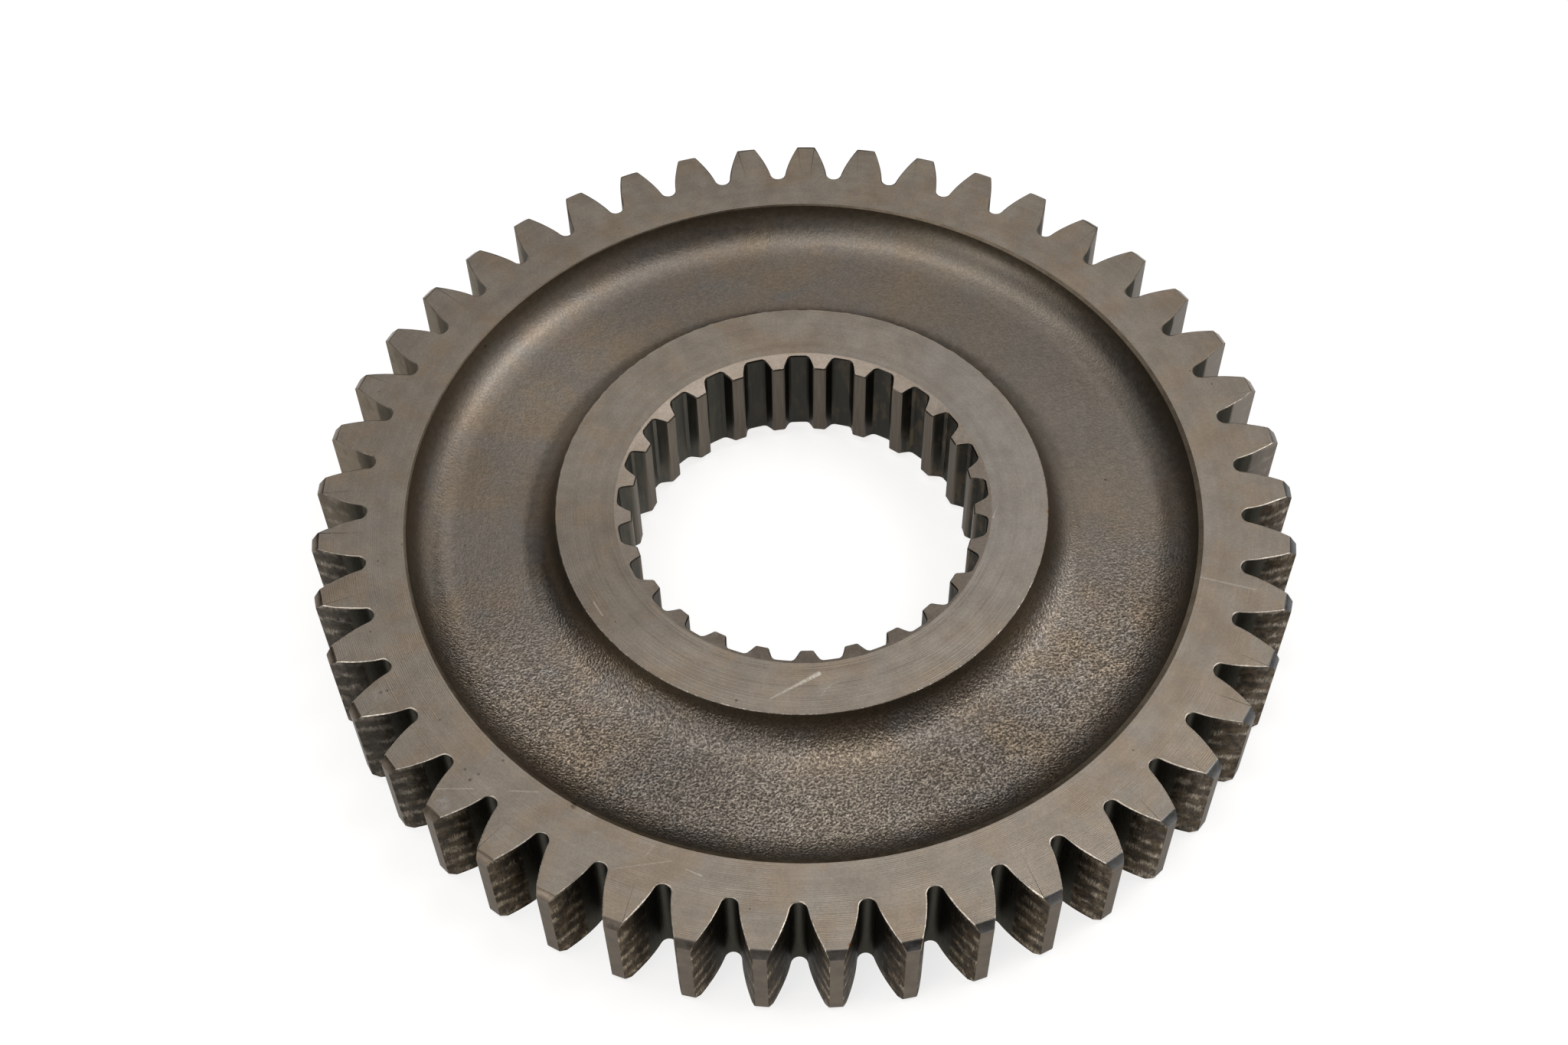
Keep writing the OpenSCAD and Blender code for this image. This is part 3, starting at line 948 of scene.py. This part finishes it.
hub_inner = {}
for end, seed in (("upper", 31), ("lower", 32)):
    burr = burr_shape(ROUND_POINTS, seed)
    last = recess_end[end]
    for depth, inset in reversed(BURR_LINES):
        r = recess_inner_r + depth * math.tan(RECESS_DRAFT) - HUB_BURR * inset * burr
        here = ring(circle(r, centre=forging_centre), end, depth)
        strip(last, here, end, "forged_skin" if inset == 0 else "burr")
        last = here
    for r in np.linspace(recess_inner_r - HUB_EDGE_W, LEAD_IN[end][0] + HUB_BORE_W, HUB_RINGS):
        here = ring(circle(r), end, 0)
        strip(last, here, end, "turned_face")
        last = here
    hub_inner[end] = last


# Bore: 25 internal involute spline teeth, broached right through the hub after a lead-in cone was
# turned at each end. The grooves are drawn dark and the tips of the teeth paler.
SPLINE_COUNT = 25
SPLINE_MODULE = 2.0
SPLINE_ANGLE = math.radians(20)
SPLINE_MINOR_D = 50.0
SPLINE_GROOVE_W = 4.45
SPLINE_TURN = math.radians(1.8)
# Round in the corners of the grooves, and how far its middle point lies from the corner, as a share
GROOVE_ROUND = 0.3
GROOVE_ROUND_MIDDLE = 0.3
# Width of the broken edges of the spline teeth
SPLINE_EDGE = 0.16
GROOVE_STEPS = 5
SPLINE_FLANK_STEPS = 7
SPLINE_TIP_STEPS = 4

major_r = SPLINE_MAJOR_D / 2
minor_r = SPLINE_MINOR_D / 2
spline_pitch_r = SPLINE_COUNT * SPLINE_MODULE / 2
spline_base_r = spline_pitch_r * math.cos(SPLINE_ANGLE)
groove_base_angle = SPLINE_GROOVE_W / 2 / spline_pitch_r + involute_angle(SPLINE_ANGLE)
first_groove_angle = FIRST_SPACE_ANGLE + SPLINE_TURN + math.pi / SPLINE_COUNT


def groove_angle(r):
    """Half the angle that a groove spans at radius r."""
    return groove_base_angle - involute_angle(angle_at(r, spline_base_r))


def spline_outline():
    """The outline of the splined bore, from the middle of one groove round to it again."""
    corner, tip_corner = float(groove_angle(major_r)), float(groove_angle(minor_r))
    middle = GROOVE_ROUND * GROOVE_ROUND_MIDDLE
    bottom_angle = np.linspace(0, corner - GROOVE_ROUND / major_r, GROOVE_STEPS + 1)
    flank_r = np.linspace(major_r - GROOVE_ROUND, minor_r + SPLINE_EDGE, SPLINE_FLANK_STEPS + 1)
    tip_angle = np.linspace(tip_corner + SPLINE_EDGE / minor_r, math.pi / SPLINE_COUNT, SPLINE_TIP_STEPS)
    r = np.concatenate([
        np.full(GROOVE_STEPS + 1, major_r), [major_r - middle], flank_r,
        np.full(SPLINE_TIP_STEPS, minor_r)])
    angle = np.concatenate([bottom_angle, [corner - middle / major_r], groove_angle(flank_r), tip_angle])
    return repeated(r, angle, SPLINE_COUNT, first_groove_angle)


bore = spline_outline()
bore_angle = np.arctan2(bore[:, 1], bore[:, 0])
bore_edge = moved_in(bore[::-1], SPLINE_EDGE)[::-1]
columns_round = round((first_groove_angle - FIRST_SPACE_ANGLE) / (2 * math.pi) * ROUND_POINTS)
bore_side = {}
for end in ENDS:
    cone_r, cone_slope = LEAD_IN[end]
    cone_top = cone_r * np.stack([np.cos(bore_angle), np.sin(bore_angle)], 1)
    top = ring(cone_top, end, 0)
    strip(np.roll(hub_inner[end], -columns_round), top, end, "turned_face")
    cone_depth = (cone_r - np.linalg.norm(bore_edge, axis=1)) * cone_slope
    corner = ring(bore_edge, end, cone_depth)
    strip(top, corner, end, "turned_chamfer")
    below = (cone_r - np.linalg.norm(bore, axis=1)) * cone_slope + SPLINE_EDGE
    bore_side[end] = ring(bore, end, below)
    strip(corner, bore_side[end], end, "broached_bore")
strip(bore_side["upper"], bore_side["lower"], "upper", "broached_bore")

SPLINE_TIP_BROWN = ((0.094, 0.080, 0.064), (0.130, 0.111, 0.090))
GROOVE_BLACK = (0.033, 0.032, 0.027)
GROOVE_BROWN = (0.066, 0.053, 0.038)


def broached_bore():
    """The bore as broached: streaks up the teeth, whose tips are paler than the black grooves."""
    material, tree, output = empty_material("broached_bore")
    at = coordinates(tree)
    streaks = cloud(tree, at.place, 0.30, 3, 0.6, (1, 1, 30))
    blots = cloud(tree, at.place, 1.6, 4, 0.6, (1, 1, 2.5))
    # Painted shade and light on the tips: darker toward the bottom of the bore, lighter at its left and
    # right sides
    tip = shade(
        tree, tint(tree, spread(tree, streaks, 0.35, 0.65), *SPLINE_TIP_BROWN),
        spread(tree, at.height, 0, 15, 0.85, 1.0),
        spread(tree, at.x, -21, -6, 1.36, 0.92),
        spread(tree, at.x, 4, 20, 1, 1.2))
    brown = product(tree, spread(tree, blots, 0.48, 0.64), spread(tree, at.x, -5, 18, 0.25, 1))
    # Painted light: the grooves lighter at the left of the bore
    groove = shade(tree, tint(tree, brown, GROOVE_BLACK, GROOVE_BROWN), spread(tree, at.x, -22, -8, 2.2, 1))
    color = tint(tree, spread(tree, at.r, minor_r + 0.15, minor_r + 0.7), tip, groove)
    roughness = spread(tree, streaks, 0.3, 0.7, 0.34, 0.46)
    steel(tree, output, color, roughness, relief(tree, streaks, 0.010), glancing=0.6)
    return material


# Gear: one piece of steel, so the tooth ring, rim, web, hub and bore are one closed mesh that rides
# on the one body and replaces the one CAD node. A crisp edge stands wherever two finishes meet.
SMOOTH_ANGLE = math.radians(20)

gear_mesh = bpy.data.meshes.new("gear_body")
gear_mesh.from_pydata((np.concatenate(skin_points) * MM).tolist(), [], skin_faces)
for make in (turned_face, forged_skin, tooth_flank, turned_chamfer, tooth_land, burr_metal, broached_bore):
    gear_mesh.materials.append(make())
gear_mesh.polygons.foreach_set("material_index", skin_finishes)
gear_mesh.polygons.foreach_set("use_smooth", [True] * len(skin_faces))
gear_mesh.set_sharp_from_angle(angle=SMOOTH_ANGLE)

shape = bmesh.new()
shape.from_mesh(gear_mesh)
for edge in shape.edges:
    if edge.link_faces[0].material_index != edge.link_faces[-1].material_index:
        edge.smooth = False
shape.to_mesh(gear_mesh)
shape.free()
gear_mesh.validate()
gear_mesh.update()
gear = bpy.data.objects.new("gear_body", gear_mesh)
bpy.context.scene.collection.objects.link(gear)
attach(gear, "root")
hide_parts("gear")
